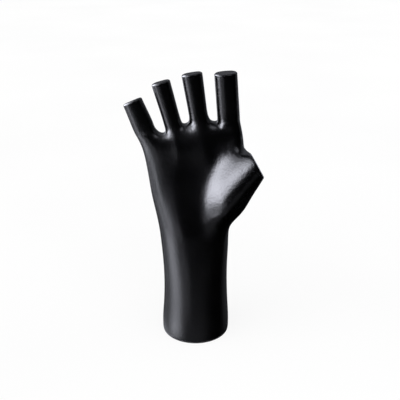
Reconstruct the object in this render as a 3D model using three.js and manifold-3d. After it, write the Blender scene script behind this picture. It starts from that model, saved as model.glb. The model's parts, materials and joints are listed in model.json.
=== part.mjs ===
// A free-standing glove display hand: an upright right hand, palm to the front, whose fingers and
// thumb are cut off flat. It is a hollow two-part laminate, bonded along its side seam, on a weighted base.
// Units are millimetres. +Z is up, the palm faces -Y and the thumb points to +X.
// The origin is the centre of the rest face, on the table under the forearm.

import * as THREE from "three";
import Module from "manifold-3d";

// Shell

const wall = 3; // thickness of the laminate
const seamGap = 0.3; // bond line between the palm half and the back half
const endBevel = 1.1; // softened edge round each cut finger
const supportRing = 3.5; // how far below the cut a finger keeps its full section

// Forearm, from the foot up to the wrist crease

const footRadius = 32;
const skirtHeight = 12; // straight part that takes the base disc
const wristHeight = 94;
const forearm = [
  { share: 0.2, left: 30.7, right: 31, front: 31, back: 31, square: 2 },
  { share: 0.46, left: 29.9, right: 30.1, front: 29.2, back: 29.2, square: 2 },
  { share: 0.74, left: 30.5, right: 30.1, front: 27.2, back: 27, square: 2.05 },
  { share: 1, left: 32.1, right: 30.9, front: 24.8, back: 23.5, square: 2.15 },
];

// Palm, from the wrist crease up to the finger roots. Heights are above the wrist crease.

const palm = [
  { leftHeight: 15, rightHeight: 17, left: 33.7, right: 32.3, front: 23.2, back: 20.8, square: 2.25 },
  { leftHeight: 31, rightHeight: 35, left: 36.6, right: 34.4, front: 20.4, back: 19, square: 2.35 },
  { leftHeight: 47, rightHeight: 53, left: 39.8, right: 36.8, front: 18.4, back: 17.8, square: 2.45 },
  { leftHeight: 62, rightHeight: 72, left: 41.8, right: 40, front: 17, back: 16.8, square: 2.5 },
  { leftHeight: 76, rightHeight: 90.5, left: 43.9, right: 44, front: 15.4, back: 15, square: 2.5 },
  { leftHeight: 88, rightHeight: 102, left: 46.3, right: 42.2, front: 12.8, back: 12.2, square: 2.4 },
];
const spreadTurn = 0.9; // how far the top palm section's points have moved to their places at the roots
const depthTurn = 0.35; // how far the finger roots' own roundness shows in the top palm section

// Fingers. The middle of the root section lies rootAside from the hand's middle and rootHeight above the
// wrist crease. Splay leans a finger to the little-finger side and lean to the back of the hand, in degrees.

const fingers = [
  {
    name: "little finger", rootAside: -41.7, rootHeight: 100.4, splay: 23, lean: 8, length: 33.9,
    rootWidth: 17.4, waistWidth: 19.2, endWidth: 18, depth: 16.4,
  },
  {
    name: "ring finger", rootAside: -18.1, rootHeight: 107.5, splay: 15.8, lean: 4, length: 42.6,
    rootWidth: 16.2, waistWidth: 15.6, endWidth: 16.8, depth: 16.4,
  },
  {
    name: "middle finger", rootAside: 3.9, rootHeight: 113.4, splay: 8.9, lean: 3, length: 43.1,
    rootWidth: 17.4, waistWidth: 16.9, endWidth: 18.4, depth: 17.2,
  },
  {
    name: "index finger", rootAside: 29.6, rootHeight: 112.4, splay: 4.5, lean: 0, length: 44.7,
    rootWidth: 20.4, waistWidth: 20.2, endWidth: 20.2, depth: 18.6,
  },
];
const waistShare = 0.3; // where along its length a finger is narrowest
const thirdShare = 0.66; // where the section between the waist and the end lies
const widthBlend = 0.6; // how much of the next section's width an in-between section takes
const fingerCorner = 0.74; // corner reach of a finger section: 0.707 is an ellipse
const rootSwell = 1.12; // depth of a root section against the finger's own depth
const webSwell = 1.06; // the same where the webs' curve ends
const webRise = 4.4; // how far up a finger the curve of the webs reaches
const webCorner = 0.88; // depth reach of a root section's corners beside a web
const webDrop = 1.6; // how far those corners lie below the section
const sideCorner = 0.66; // depth reach of the little finger's root corners on the hand's side

// The lowest place of each web between two fingers, aside and above the wrist crease, and half its width

const webs = [
  { name: "little to ring finger", aside: -28, height: 104.3, halfWidth: 1.4 },
  { name: "ring to middle finger", aside: -8.6, height: 113.2, halfWidth: 1.2 },
  { name: "middle to index finger", aside: 16.3, height: 114.9, halfWidth: 1.4 },
];

// Thumb. The cut face is an oval; its middle lies aside and forward of the origin, above the wrist crease.

const thumbEnd = { aside: 54.2, forward: 16.5, height: 79.8 };
const thumbEndWidth = 26.4; // across the cut, in the plane of the palm
const thumbEndDepth = 28; // across the cut, front to back
const thumbTurnUp = 29.4; // degrees that the cut face looks up from straight sideways
const thumbTurnBack = 4; // degrees that it looks towards the back of the hand
const thumbRootRow = 6; // the ring of the arm, counted from the foot, at which the thumb's root starts
const thumbRows = 4;
const thumbFrontColumns = 3; // columns of the arm that the root takes in front of the seam
const thumbBackColumns = 1; // and behind it
const thumbShares = [0.32, 0.6, 0.82]; // where the thumb's rings lie between the root and the cut
const thumbBall = 1; // how far the thumb stands out on the palm side, half way
const thumbBelly = 4; // how far it stands out below, next to its root
const thumbEase = 0.5; // how far a point at the top of the thumb's web moves to its neighbours' mean
const thumbEaseFade = 2.5; // how fast that fades down the thumb's root

// Ball of the thumb: a flank that climbs evenly from a round foot line to a straight ridge, and rolls over
// there. The middle of the foot line's circle and the ridge's low end are given as places aside and above
// the wrist crease.

const ball = {
  middleAside: 68.9, middleHeight: 41, footReach: 62.4, slope: 0.75, sink: 0.5, footSoftness: 1.6,
  ridgeAside: 5, ridgeHeight: 27, ridgeTurn: 47.5, ridgeRound: 12,
};

// Relief of the rest of the palm side: oval bells, each with its rise, its middle aside and above the wrist
// crease, its half length and half width, and the turn of its length from level

const heel = { rise: 2, aside: -17, height: 30, halfLength: 34, halfWidth: 14, turn: 96 };
const hollow = { rise: -3.6, aside: -5, height: 70, halfLength: 26, halfWidth: 18, turn: 90 };
const fingerPads = { rise: 1.6, aside: -2, height: 97, halfLength: 44, halfWidth: 9, turn: 10 };
const reliefReach = 1.6; // how fast the relief fades towards the hand's sides

// Base

const padThickness = 1.5;
const padInset = 0.3; // the rubber pad stops short of the skirt's edge
const fit = 0.3; // clearance round a bonded piece
const discThickness = 10;
const discBevel = 0.8;
const beadLeg = 3.6; // resin bead in the corner above the base disc
const ballastMargin = 1.5; // between the resin bead and the ballast disc
const ballastThickness = 8;
const ballastBevel = 0.6;
const screwCount = 3;
const screwEdgeDistance = 8.5; // from a screw's middle to the edge of the ballast disc
const screwShankRadius = 2;
const screwHoleRadius = 2.3;
const screwLength = 14; // under the head
const screwTip = 3;
const screwHeadRadius = 4;
const screwHeadHeight = 2.6;
const screwRecessWidth = 1.1;
const screwRecessLength = 4.2;
const screwRecessDepth = 1.3;

// Seam tape laminated over the inside of the seam

const tapeThickness = 1;
const tapeStartRow = 2;
const tapeEndRowLittleFinger = 9;
const tapeEndRowThumb = 5;

// Skin

const fairingRounds = 8; // rounds in which the skin is drawn onto its wanted points
const normalRounds = 3; // rounds of evening out the directions in which the wall is set in

const radians = THREE.MathUtils.degToRad;
const vec = (x, y, z) => new THREE.Vector3(x, y, z);

// A ring round the arm has one point on the little-finger side, three for each finger along the front,
// one on the thumb side and three for each finger along the back.

const pointsPerFinger = 3;
const frontPoints = pointsPerFinger * fingers.length;
const ringSize = 2 * frontPoints + 2;
const thumbSide = frontPoints + 1;
const frontIndex = (column) => 1 + column;
const backIndex = (column) => ringSize - 1 - column;
const sectionPoints = 8; // points round a finger

function bellAt({ rise, aside, height, halfLength, halfWidth, turn }, x, z) {
  const angle = radians(turn);
  const dx = x - aside;
  const dz = z - wristHeight - height;
  const u = (dx * Math.cos(angle) + dz * Math.sin(angle)) / halfLength;
  const v = (dz * Math.cos(angle) - dx * Math.sin(angle)) / halfWidth;
  return rise * Math.exp(-(u * u + v * v));
}

function palmRelief(x, z) {
  return [heel, hollow, fingerPads].reduce((sum, form) => sum + bellAt(form, x, z), 0);
}

// How far the ball of the thumb stands over the palm's level; less than nothing outside its foot line
function ballLift(x, z) {
  const height = z - wristHeight;
  const inside = ball.footReach - Math.hypot(x - ball.middleAside, height - ball.middleHeight);
  const turn = radians(ball.ridgeTurn);
  const beyond = (x - ball.ridgeAside) * Math.sin(turn) - (height - ball.ridgeHeight) * Math.cos(turn);
  return ball.slope * inside - Math.max(0, beyond) ** 2 / (2 * ball.ridgeRound);
}

// The greater of two values, with a rounded changeover
function softMax(a, b, softness) {
  return Math.max(a, b) + softness * Math.log(1 + Math.exp(-Math.abs(a - b) / softness));
}

// Unit directions of a finger: along it, to the thumb side and to the palm side
function fingerFrame({ splay, lean }) {
  const s = radians(splay);
  const l = radians(lean);
  const along = vec(-Math.sin(s) * Math.cos(l), Math.sin(l), Math.cos(s) * Math.cos(l));
  const right = vec(Math.cos(s), 0, Math.sin(s));
  return { along, right, front: new THREE.Vector3().crossVectors(right, along).normalize() };
}

// Eight places round a finger section, from the little-finger side through the front
const sectionPlaces = [
  [-1, 0], [-fingerCorner, fingerCorner], [0, 1], [fingerCorner, fingerCorner],
  [1, 0], [fingerCorner, -fingerCorner], [0, -1], [-fingerCorner, -fingerCorner],
];

function fingerSection(finger, distance, width, depth) {
  const { along, right, front } = fingerFrame(finger);
  const middle = vec(finger.rootAside, 0, wristHeight + finger.rootHeight).addScaledVector(along, distance);
  return sectionPlaces.map(([u, v]) =>
    middle.clone().addScaledVector(right, (u * width) / 2).addScaledVector(front, (v * depth) / 2));
}

// The root ring is the fingers' root sections side by side; its inner points border the webs.
function rootRing() {
  const ring = new Array(ringSize);
  const inner = [];
  fingers.forEach((finger, f) => {
    const section = fingerSection(finger, 0, finger.rootWidth, finger.depth * rootSwell);
    const column = pointsPerFinger * f;
    [1, 2, 3].forEach((k) => { ring[frontIndex(column + k - 1)] = section[k]; });
    [7, 6, 5].forEach((k, n) => { ring[backIndex(column + n)] = section[k]; });
    const { along, front } = fingerFrame(finger);
    const reshape = (corners, reach, drop) => corners.forEach(([k, side]) => section[k]
      .addScaledVector(front, (side * (reach - fingerCorner) * finger.depth * rootSwell) / 2)
      .addScaledVector(along, -drop));
    if (f > 0) reshape([[1, 1], [7, -1]], webCorner, webDrop);
    else reshape([[1, 1], [7, -1]], sideCorner, 0);
    if (f < fingers.length - 1) reshape([[3, 1], [5, -1]], webCorner, webDrop);
    if (f === 0) ring[0] = section[0];
    if (f === fingers.length - 1) ring[thumbSide] = section[4];
  });
  webs.forEach(({ aside, height, halfWidth }) => [-1, 1].forEach((side) =>
    inner.push(vec(aside + side * halfWidth, 0, wristHeight + height))));
  return { ring, inner };
}

// Ring place i on a section: across from -1 to 1 and out to the front from -1 to 1
function sectionPlace(i, square) {
  const angle = (2 * Math.PI * i) / ringSize;
  const power = 2 / square;
  const bend = (value) => Math.sign(value) * Math.abs(value) ** power;
  return [bend(-Math.cos(angle)), bend(Math.sin(angle))];
}

// Rings of the forearm and palm, from the foot to just below the finger roots
function armRings(root) {
  const rootLeft = root[0];
  const rootRight = root[thumbSide];
  const rootSpan = rootRight.x - rootLeft.x;
  const rootDepth = Math.max(...root.map((p) => Math.abs(p.y)));
  const rootPlaces = root.map((p) => {
    const across = (2 * (p.x - rootLeft.x)) / rootSpan - 1;
    const level = THREE.MathUtils.lerp(rootLeft.z, rootRight.z, (across + 1) / 2);
    return { across, out: -p.y / rootDepth, lift: p.z - level };
  });
  const foot = { left: footRadius, right: footRadius, front: footRadius, back: footRadius, square: 2 };
  const stations = [
    { ...foot, zLeft: padThickness, zRight: padThickness, spread: 0, turn: 0 },
    { ...foot, zLeft: padThickness + skirtHeight, zRight: padThickness + skirtHeight, spread: 0, turn: 0 },
    ...forearm.map((s) => {
      const bottom = padThickness + skirtHeight;
      const z = bottom + s.share * (wristHeight - bottom);
      return { ...s, zLeft: z, zRight: z, spread: 0, turn: 0 };
    }),
    ...palm.map((s, n) => ({
      ...s,
      zLeft: wristHeight + s.leftHeight,
      zRight: wristHeight + s.rightHeight,
      spread: spreadTurn * ((n + 1) / palm.length) ** 1.3,
      turn: depthTurn * ((n + 1) / palm.length) ** 6,
    })),
  ];
  return stations.map((s) => root.map((unused, i) => {
    const [acrossRound, outRound] = sectionPlace(i, s.square);
    const across = THREE.MathUtils.lerp(acrossRound, rootPlaces[i].across, s.spread);
    const out = THREE.MathUtils.lerp(outRound, rootPlaces[i].out, s.turn);
    const share = (across + 1) / 2;
    const x = THREE.MathUtils.lerp(-s.left, s.right, share);
    const z = THREE.MathUtils.lerp(s.zLeft, s.zRight, share) + rootPlaces[i].lift * s.spread ** 4;
    if (out <= 0) return vec(x, -out * s.back, z);
    const plain = out * s.front;
    const withBall = softMax(plain, s.front - ball.sink + ballLift(x, z), ball.footSoftness);
    const raised = THREE.MathUtils.lerp(plain, withBall + palmRelief(x, z), Math.min(1, out * reliefReach));
    return vec(x, -raised, z);
  }));
}

// The cage: points that the skin passes through, four-sided faces marked front or back, and hard edges.
// Each point may name its own place on the inner skin; the others are set in by the wall thickness, and
// wallShifts turns the way in which some of them are set in towards a given shift.
class Cage {
  constructor() {
    this.points = [];
    this.innerPoints = [];
    this.faces = [];
    this.hardEdges = new Set();
    this.easedPoints = new Map();
    this.wallShifts = new Map();
  }

  add(point, innerPoint = null) {
    this.innerPoints.push(innerPoint);
    return this.points.push(point) - 1;
  }

  face(corners, front, tags = []) {
    this.faces.push({ corners, front, tags });
  }

  // Faces between two rings of the same size, the second one further out
  join(lower, upper, isFront) {
    lower.forEach((a, k) => {
      const next = (k + 1) % lower.length;
      this.face([a, lower[next], upper[next], upper[k]], isFront(k));
    });
  }

  harden(ring) {
    ring.forEach((a, k) => this.hardEdges.add(edgeKey(a, ring[(k + 1) % ring.length])));
  }
}

function edgeKey(a, b) {
  return a < b ? `${a}_${b}` : `${b}_${a}`;
}

function addFinger(cage, finger, rootIds) {
  const { along } = fingerFrame(finger);
  const { length, rootWidth, waistWidth, endWidth, depth } = finger;
  const isFront = (k) => k < sectionPoints / 2;
  const addSection = (distance, width, thickness, inner = null) => {
    const innerSection = inner ? fingerSection(finger, ...inner) : null;
    return fingerSection(finger, distance, width, thickness)
      .map((point, k) => cage.add(point, innerSection ? innerSection[k] : null));
  };
  const innerWidth = endWidth - 2 * wall;
  const innerDepth = depth - 2 * wall;
  const sections = [
    rootIds,
    addSection(webRise, THREE.MathUtils.lerp(rootWidth, waistWidth, widthBlend), depth * webSwell),
    addSection(length * waistShare, waistWidth, depth),
    addSection(length * thirdShare, THREE.MathUtils.lerp(waistWidth, endWidth, widthBlend), depth),
    addSection(length - supportRing, endWidth, depth, [length - wall - supportRing, innerWidth, innerDepth]),
  ];
  const edge = addSection(length - endBevel, endWidth, depth,
    [length - wall - endBevel, innerWidth, innerDepth]);
  const rim = addSection(length, endWidth - 2 * endBevel, depth - 2 * endBevel,
    [length - wall, innerWidth - 2 * endBevel, innerDepth - 2 * endBevel]);
  const middle = vec(finger.rootAside, 0, wristHeight + finger.rootHeight);
  const cap = cage.add(middle.clone().addScaledVector(along, length),
    middle.clone().addScaledVector(along, length - wall));
  [...sections, edge, rim].forEach((ring, n, rings) => {
    if (n > 0) cage.join(rings[n - 1], ring, isFront);
  });
  for (let k = 0; k < sectionPoints; k += 2) {
    cage.face([rim[k], rim[k + 1], rim[(k + 2) % sectionPoints], cap], isFront(k));
  }
  cage.harden(edge);
  cage.harden(rim);
}

// Row and column of border place k of a grid, run anticlockwise from its first corner
function borderPlace(k, rows, columns) {
  if (k < columns) return [0, k];
  if (k < columns + rows) return [k - columns, columns];
  if (k < 2 * columns + rows) return [rows, 2 * columns + rows - k];
  return [2 * (columns + rows) - k, 0];
}

function gridBorder(grid) {
  const rows = grid.length - 1;
  const columns = grid[0].length - 1;
  return [...Array(2 * (rows + columns)).keys()].map((k) => {
    const [r, c] = borderPlace(k, rows, columns);
    return grid[r][c];
  });
}

// The thumb grows out of a patch of the arm's thumb side, and ends in a flat oval.
function addThumb(cage, armIds) {
  const columnCount = thumbFrontColumns + thumbBackColumns;
  const firstColumn = thumbSide - thumbFrontColumns;
  const rootGrid = armIds.slice(thumbRootRow, thumbRootRow + thumbRows + 1)
    .map((row) => row.slice(firstColumn, firstColumn + columnCount + 1));
  const up = radians(thumbTurnUp);
  const back = radians(thumbTurnBack);
  const out = vec(Math.cos(up) * Math.cos(back), Math.sin(back), Math.sin(up) * Math.cos(back));
  const rise = vec(-Math.sin(up), 0, Math.cos(up));
  const aside = new THREE.Vector3().crossVectors(rise, out).normalize();
  const middle = vec(thumbEnd.aside, -thumbEnd.forward, wristHeight + thumbEnd.height);
  const radius = thumbEndWidth / 2;
  const flatness = thumbEndDepth / thumbEndWidth;
  const discPoint = (angle, reach, sink) => middle.clone()
    .addScaledVector(aside, flatness * reach * Math.cos(angle))
    .addScaledVector(rise, reach * Math.sin(angle))
    .addScaledVector(out, -sink);
  // The seam meets the disc at its lowest and highest points.
  const borderSize = 2 * (columnCount + thumbRows);
  const lowSeam = thumbFrontColumns;
  const highSeam = columnCount + thumbRows + thumbBackColumns;
  const isFront = (k) => k < lowSeam || k >= highSeam;
  const frontSteps = borderSize - highSeam + lowSeam;
  const angleAt = (k) => {
    if (!isFront(k)) return -Math.PI / 2 + (Math.PI * (k - lowSeam)) / (highSeam - lowSeam);
    const stepsFromLow = lowSeam - (k < lowSeam ? k : k - borderSize);
    return -Math.PI / 2 - (Math.PI * stepsFromLow) / frontSteps;
  };
  const around = [...Array(borderSize).keys()];
  const ringAt = (reach, sink, innerReach, innerSink) => around.map((k) =>
    cage.add(discPoint(angleAt(k), reach, sink), discPoint(angleAt(k), innerReach, innerSink)));
  const root = gridBorder(rootGrid);
  const innerRadius = radius - wall;
  const between = thumbShares.map((share) => root.map((rootId, k) => {
    const ball = thumbBall * Math.sin(Math.PI * share);
    const belly = thumbBelly * (1 - share);
    const end = discPoint(angleAt(k), radius, endBevel);
    const id = cage.add(cage.points[rootId].clone().lerp(end, share)
      .addScaledVector(aside, -ball * Math.max(0, -Math.cos(angleAt(k))))
      .addScaledVector(rise, -belly * Math.max(0, -Math.sin(angleAt(k)))));
    cage.wallShifts.set(id, { share, shift: discPoint(angleAt(k), innerRadius, wall + endBevel).sub(end) });
    return id;
  }));
  [root, ...between.slice(0, -1)].forEach((ring) => ring.forEach((id, k) => {
    const [row] = borderPlace(k, thumbRows, columnCount);
    cage.easedPoints.set(id, thumbEase * (row / thumbRows) ** thumbEaseFade);
  }));
  const edge = ringAt(radius, endBevel, innerRadius, wall + endBevel);
  const rim = ringAt(radius - endBevel, 0, innerRadius - endBevel, wall);
  [root, ...between, edge, rim].forEach((ring, n, rings) => {
    if (n > 0) cage.join(rings[n - 1], ring, isFront);
  });
  const capGrid = rootGrid.map((row) => row.map(() => null));
  around.forEach((k) => {
    const [r, c] = borderPlace(k, thumbRows, columnCount);
    capGrid[r][c] = rim[k];
  });
  // Inside the disc each point lies between the border points of its row and its column.
  for (let r = 1; r < thumbRows; r += 1) {
    for (let c = 1; c < columnCount; c += 1) {
      const mean = (points) => {
        const across = points[capGrid[r][0]].clone().lerp(points[capGrid[r][columnCount]], c / columnCount);
        const along = points[capGrid[0][c]].clone().lerp(points[capGrid[thumbRows][c]], r / thumbRows);
        return across.lerp(along, 0.5);
      };
      capGrid[r][c] = cage.add(mean(cage.points), mean(cage.innerPoints));
    }
  }
  for (let r = 0; r < thumbRows; r += 1) {
    for (let c = 0; c < columnCount; c += 1) {
      const corners = [capGrid[r][c], capGrid[r][c + 1], capGrid[r + 1][c + 1], capGrid[r + 1][c]];
      cage.face(corners, c < thumbFrontColumns);
    }
  }
  cage.harden(edge);
  cage.harden(rim);
}

function isBetween(value, from, to) {
  return value >= from && value < to;
}

// Which seam tape, if any, runs behind a face of the arm
function tapeTags(row, i) {
  const nextToLittleFinger = i === 0 || i === ringSize - 1;
  const nextToThumb = i === thumbSide - 1 || i === thumbSide;
  if (nextToLittleFinger && isBetween(row, tapeStartRow, tapeEndRowLittleFinger)) return ["littleFingerTape"];
  if (nextToThumb && isBetween(row, tapeStartRow, tapeEndRowThumb)) return ["thumbTape"];
  return [];
}

function handCage() {
  const cage = new Cage();
  const { ring: root, inner } = rootRing();
  const rings = [...armRings(root), root];
  const skirtRows = 2;
  const innerFoot = vec(1, 1, 0).multiplyScalar(1 - wall / footRadius).setZ(1);
  const armIds = rings.map((ring, row) => ring.map((point) =>
    cage.add(point, row < skirtRows ? point.clone().multiply(innerFoot) : null)));
  const webIds = inner.map((point) => cage.add(point));
  const isThumbRoot = (row, i) => isBetween(row, thumbRootRow, thumbRootRow + thumbRows)
    && isBetween(i, thumbSide - thumbFrontColumns, thumbSide + thumbBackColumns);
  for (let row = 0; row + 1 < rings.length; row += 1) {
    for (let i = 0; i < ringSize; i += 1) {
      if (isThumbRoot(row, i)) continue;
      const next = (i + 1) % ringSize;
      const corners = [armIds[row][i], armIds[row][next], armIds[row + 1][next], armIds[row + 1][i]];
      cage.face(corners, i < thumbSide, tapeTags(row, i));
    }
  }
  const rootIds = armIds[armIds.length - 1];
  fingers.forEach((finger, f) => {
    const column = pointsPerFinger * f;
    const left = f === 0 ? rootIds[0] : webIds[2 * f - 1];
    const right = f === fingers.length - 1 ? rootIds[thumbSide] : webIds[2 * f];
    const front = [0, 1, 2].map((n) => rootIds[frontIndex(column + n)]);
    const back = [2, 1, 0].map((n) => rootIds[backIndex(column + n)]);
    addFinger(cage, finger, [left, ...front, right, ...back]);
    if (f === fingers.length - 1) return;
    const beyond = webIds[2 * f + 1];
    cage.face([front[2], rootIds[frontIndex(column + 3)], beyond, right], true);
    cage.face([right, beyond, rootIds[backIndex(column + 3)], back[0]], false);
  });
  addThumb(cage, armIds);
  return cage;
}

// Neighbours of every point and edge of a four-sided mesh
function topology(faces, pointCount, hardEdges) {
  const edges = new Map();
  const around = Array.from({ length: pointCount }, () => ({ edges: [], faces: [] }));
  faces.forEach(({ corners }, f) => corners.forEach((a, k) => {
    const b = corners[(k + 1) % 4];
    const key = edgeKey(a, b);
    if (!edges.has(key)) {
      const edge = { ends: [Math.min(a, b), Math.max(a, b)], faces: [], hard: hardEdges.has(key) };
      edges.set(key, edge);
      around[a].edges.push(edge);
      around[b].edges.push(edge);
    }
    edges.get(key).faces.push(f);
    around[a].faces.push(f);
  }));
  for (const edge of edges.values()) if (edge.faces.length === 1) edge.hard = true;
  return { edges, around };
}

// Evens out the cage where the thumb joins the hand
function easeJoin(cage, topo) {
  const means = [...cage.easedPoints.keys()].map((id) =>
    average(topo.around[id].edges.map((edge) => cage.points[otherEnd(edge, id)].clone())));
  [...cage.easedPoints].forEach(([id, share], k) => { cage.points[id].lerp(means[k], share); });
}

function average(points) {
  return points.reduce((sum, p) => sum.add(p), vec(0, 0, 0)).multiplyScalar(1 / points.length);
}

function otherEnd(edge, id) {
  return edge.ends[0] === id ? edge.ends[1] : edge.ends[0];
}

// Where the endlessly subdivided surface lies for each point
function limitPoints(points, faces, topo) {
  return points.map((p, id) => {
    const { edges, faces: near } = topo.around[id];
    const hard = edges.filter((e) => e.hard);
    if (hard.length === 2) {
      const ends = average(hard.map((e) => points[otherEnd(e, id)]));
      return p.clone().multiplyScalar(2 / 3).addScaledVector(ends, 1 / 3);
    }
    const n = edges.length;
    const sum = p.clone().multiplyScalar(n * n);
    edges.forEach((e) => sum.addScaledVector(points[otherEnd(e, id)], 4));
    near.forEach((f) => {
      const { corners } = faces[f];
      sum.add(points[corners[(corners.indexOf(id) + 2) % 4]]);
    });
    return sum.multiplyScalar(1 / (n * (n + 5)));
  });
}

// Moves the cage's points until the surface passes through the wanted ones
function fitPoints(wanted, faces, topo) {
  const points = wanted.map((p) => p.clone());
  for (let round = 0; round < fairingRounds; round += 1) {
    limitPoints(points, faces, topo).forEach((at, id) => points[id].add(wanted[id]).sub(at));
  }
  return points;
}

// One step of smoothing, in which each face is split in four and the hard edges stay sharp
function subdivide(points, faces, hardEdges, topo) {
  const facePoints = faces.map(({ corners }) => average(corners.map((c) => points[c])));
  const moved = points.map((p, id) => {
    const { edges, faces: near } = topo.around[id];
    const hard = edges.filter((e) => e.hard);
    if (hard.length === 2) {
      const ends = average(hard.map((e) => points[otherEnd(e, id)]));
      return p.clone().multiplyScalar(0.75).addScaledVector(ends, 0.25);
    }
    const n = edges.length;
    const faceMean = average(near.map((f) => facePoints[f]));
    const edgeMean = average(edges.map((e) => points[otherEnd(e, id)].clone().add(p).multiplyScalar(0.5)));
    return faceMean.addScaledVector(edgeMean, 2).addScaledVector(p, n - 3).multiplyScalar(1 / n);
  });
  const newPoints = [...moved, ...facePoints];
  const edgeIds = new Map();
  const newHard = new Set();
  for (const [key, edge] of topo.edges) {
    const [a, b] = edge.ends;
    const middle = points[a].clone().add(points[b]).multiplyScalar(0.5);
    if (!edge.hard) middle.add(average(edge.faces.map((f) => facePoints[f]))).multiplyScalar(0.5);
    const id = newPoints.push(middle) - 1;
    edgeIds.set(key, id);
    if (hardEdges.has(key)) {
      newHard.add(edgeKey(a, id));
      newHard.add(edgeKey(b, id));
    }
  }
  const newFaces = faces.flatMap((face, f) => face.corners.map((corner, k) => {
    const next = face.corners[(k + 1) % 4];
    const before = face.corners[(k + 3) % 4];
    const edgeAfter = edgeIds.get(edgeKey(corner, next));
    const edgeBefore = edgeIds.get(edgeKey(before, corner));
    return { ...face, corners: [corner, edgeAfter, points.length + f, edgeBefore] };
  }));
  return { points: newPoints, faces: newFaces, hardEdges: newHard };
}

// A smooth skin through the wanted points, subdivided once and put on its limit surface
function smoothSkin(wanted, cage, topo) {
  const fitted = fitPoints(wanted, cage.faces, topo);
  const fine = subdivide(fitted, cage.faces, cage.hardEdges, topo);
  const fineTopo = topology(fine.faces, fine.points.length, fine.hardEdges);
  return { ...fine, points: limitPoints(fine.points, fine.faces, fineTopo) };
}

function pointNormals(points, faces) {
  const normals = points.map(() => vec(0, 0, 0));
  faces.forEach(({ corners }) => {
    const [a, b, c, d] = corners.map((id) => points[id]);
    const normal = new THREE.Vector3().crossVectors(c.clone().sub(a), d.clone().sub(b)).normalize();
    corners.forEach((id) => normals[id].add(normal));
  });
  return normals.map((n) => n.normalize());
}

// Evened out with the neighbours' directions, so that the inner skin doesn't fold in a tight corner
function evenedNormals(normals, topo, rounds) {
  let current = normals;
  for (let round = 0; round < rounds; round += 1) {
    const before = current;
    current = before.map((n, id) =>
      average(topo.around[id].edges.map((e) => before[otherEnd(e, id)].clone())).add(n).normalize());
  }
  return current;
}

// The closed solid between two skins that share their faces. Its cut sides follow the patch's border.
function solidBetween(outer, inner, faces) {
  const corners = [];
  const triangles = [];
  const ids = new Map();
  const vertex = (layer, points, id) => {
    const key = `${layer}_${id}`;
    if (!ids.has(key)) {
      ids.set(key, corners.length / 3);
      corners.push(...points[id].toArray());
    }
    return ids.get(key);
  };
  const quad = (a, b, c, d, flip) => {
    const split = flip ? [a, b, d, b, c, d] : [a, b, c, a, c, d];
    triangles.push(...split);
  };
  const borders = new Map();
  faces.forEach(({ corners: loop }) => {
    const [a, b, c, d] = loop;
    const flip = outer[a].distanceTo(outer[c]) > outer[b].distanceTo(outer[d]);
    quad(...loop.map((id) => vertex("outer", outer, id)), flip);
    quad(...[a, d, c, b].map((id) => vertex("inner", inner, id)), flip);
    loop.forEach((from, k) => {
      const to = loop[(k + 1) % 4];
      if (!borders.delete(`${to}_${from}`)) borders.set(`${from}_${to}`, [from, to]);
    });
  });
  for (const [from, to] of borders.values()) {
    quad(vertex("outer", outer, to), vertex("outer", outer, from),
      vertex("inner", inner, from), vertex("inner", inner, to), from < to);
  }
  const geometry = new THREE.BufferGeometry();
  geometry.setAttribute("position", new THREE.Float32BufferAttribute(corners, 3));
  geometry.setIndex(triangles);
  geometry.computeVertexNormals();
  return geometry;
}

// Each point on the seam, with the run of the seam there
function seamRuns({ points, faces }) {
  const backEdges = new Set(faces.filter((face) => !face.front)
    .flatMap(({ corners }) => corners.map((from, k) => `${from}_${corners[(k + 1) % 4]}`)));
  const runs = new Map();
  faces.filter((face) => face.front).forEach(({ corners }) => corners.forEach((from, k) => {
    const to = corners[(k + 1) % 4];
    if (!backEdges.has(`${to}_${from}`)) return;
    [from, to].forEach((id) => {
      if (!runs.has(id)) runs.set(id, vec(0, 0, 0));
      runs.get(id).add(points[to].clone().sub(points[from]).normalize());
    });
  }));
  return runs;
}

// The skin's points, with those on the seam drawn back from it by half the bond line
function drawnFromSeam(skin, front) {
  const { points, faces } = skin;
  const runs = seamRuns(skin);
  const ownSide = new Map([...runs.keys()].map((id) => [id, []]));
  faces.filter((face) => face.front === front).forEach(({ corners }) => {
    const middle = average(corners.map((id) => points[id]));
    corners.filter((id) => runs.has(id)).forEach((id) => ownSide.get(id).push(middle));
  });
  return points.map((p, id) => {
    if (!runs.has(id)) return p;
    const run = runs.get(id).clone().normalize();
    const inwards = average(ownSide.get(id).map((middle) => middle.clone())).sub(p);
    const aside = inwards.addScaledVector(run, -inwards.dot(run)).normalize();
    return p.clone().addScaledVector(aside, seamGap / 2);
  });
}

// The palm half of the shell, or the back half
function halfShell(outerSkin, innerSkin, front) {
  const faces = outerSkin.faces.filter((face) => face.front === front);
  return solidBetween(drawnFromSeam(outerSkin, front), drawnFromSeam(innerSkin, front), faces);
}

// A strip of tape that lies inside the shell
function seamTape(innerSkin, tag) {
  const normals = pointNormals(innerSkin.points, innerSkin.faces);
  const setIn = (depth) => innerSkin.points.map((p, id) => p.clone().addScaledVector(normals[id], -depth));
  const faces = innerSkin.faces.filter((face) => face.tags.includes(tag));
  return solidBetween(setIn(fit), setIn(fit + tapeThickness), faces);
}

// A round piece, from a profile of [radius, height] that runs up the outside and closes on the axis
const roundSegments = 48;
const screwSegments = 24;
function turned(profile, segments = roundSegments) {
  const points = profile.map(([r, z]) => new THREE.Vector2(r, z));
  return new THREE.LatheGeometry(points, segments).rotateX(Math.PI / 2);
}

function bevelledDisc(radius, bottom, top, bevel) {
  return turned([
    [0, bottom], [radius - bevel, bottom], [radius, bottom + bevel],
    [radius, top - bevel], [radius - bevel, top], [0, top],
  ]);
}

const wasm = await Module();
wasm.setup();

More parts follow.
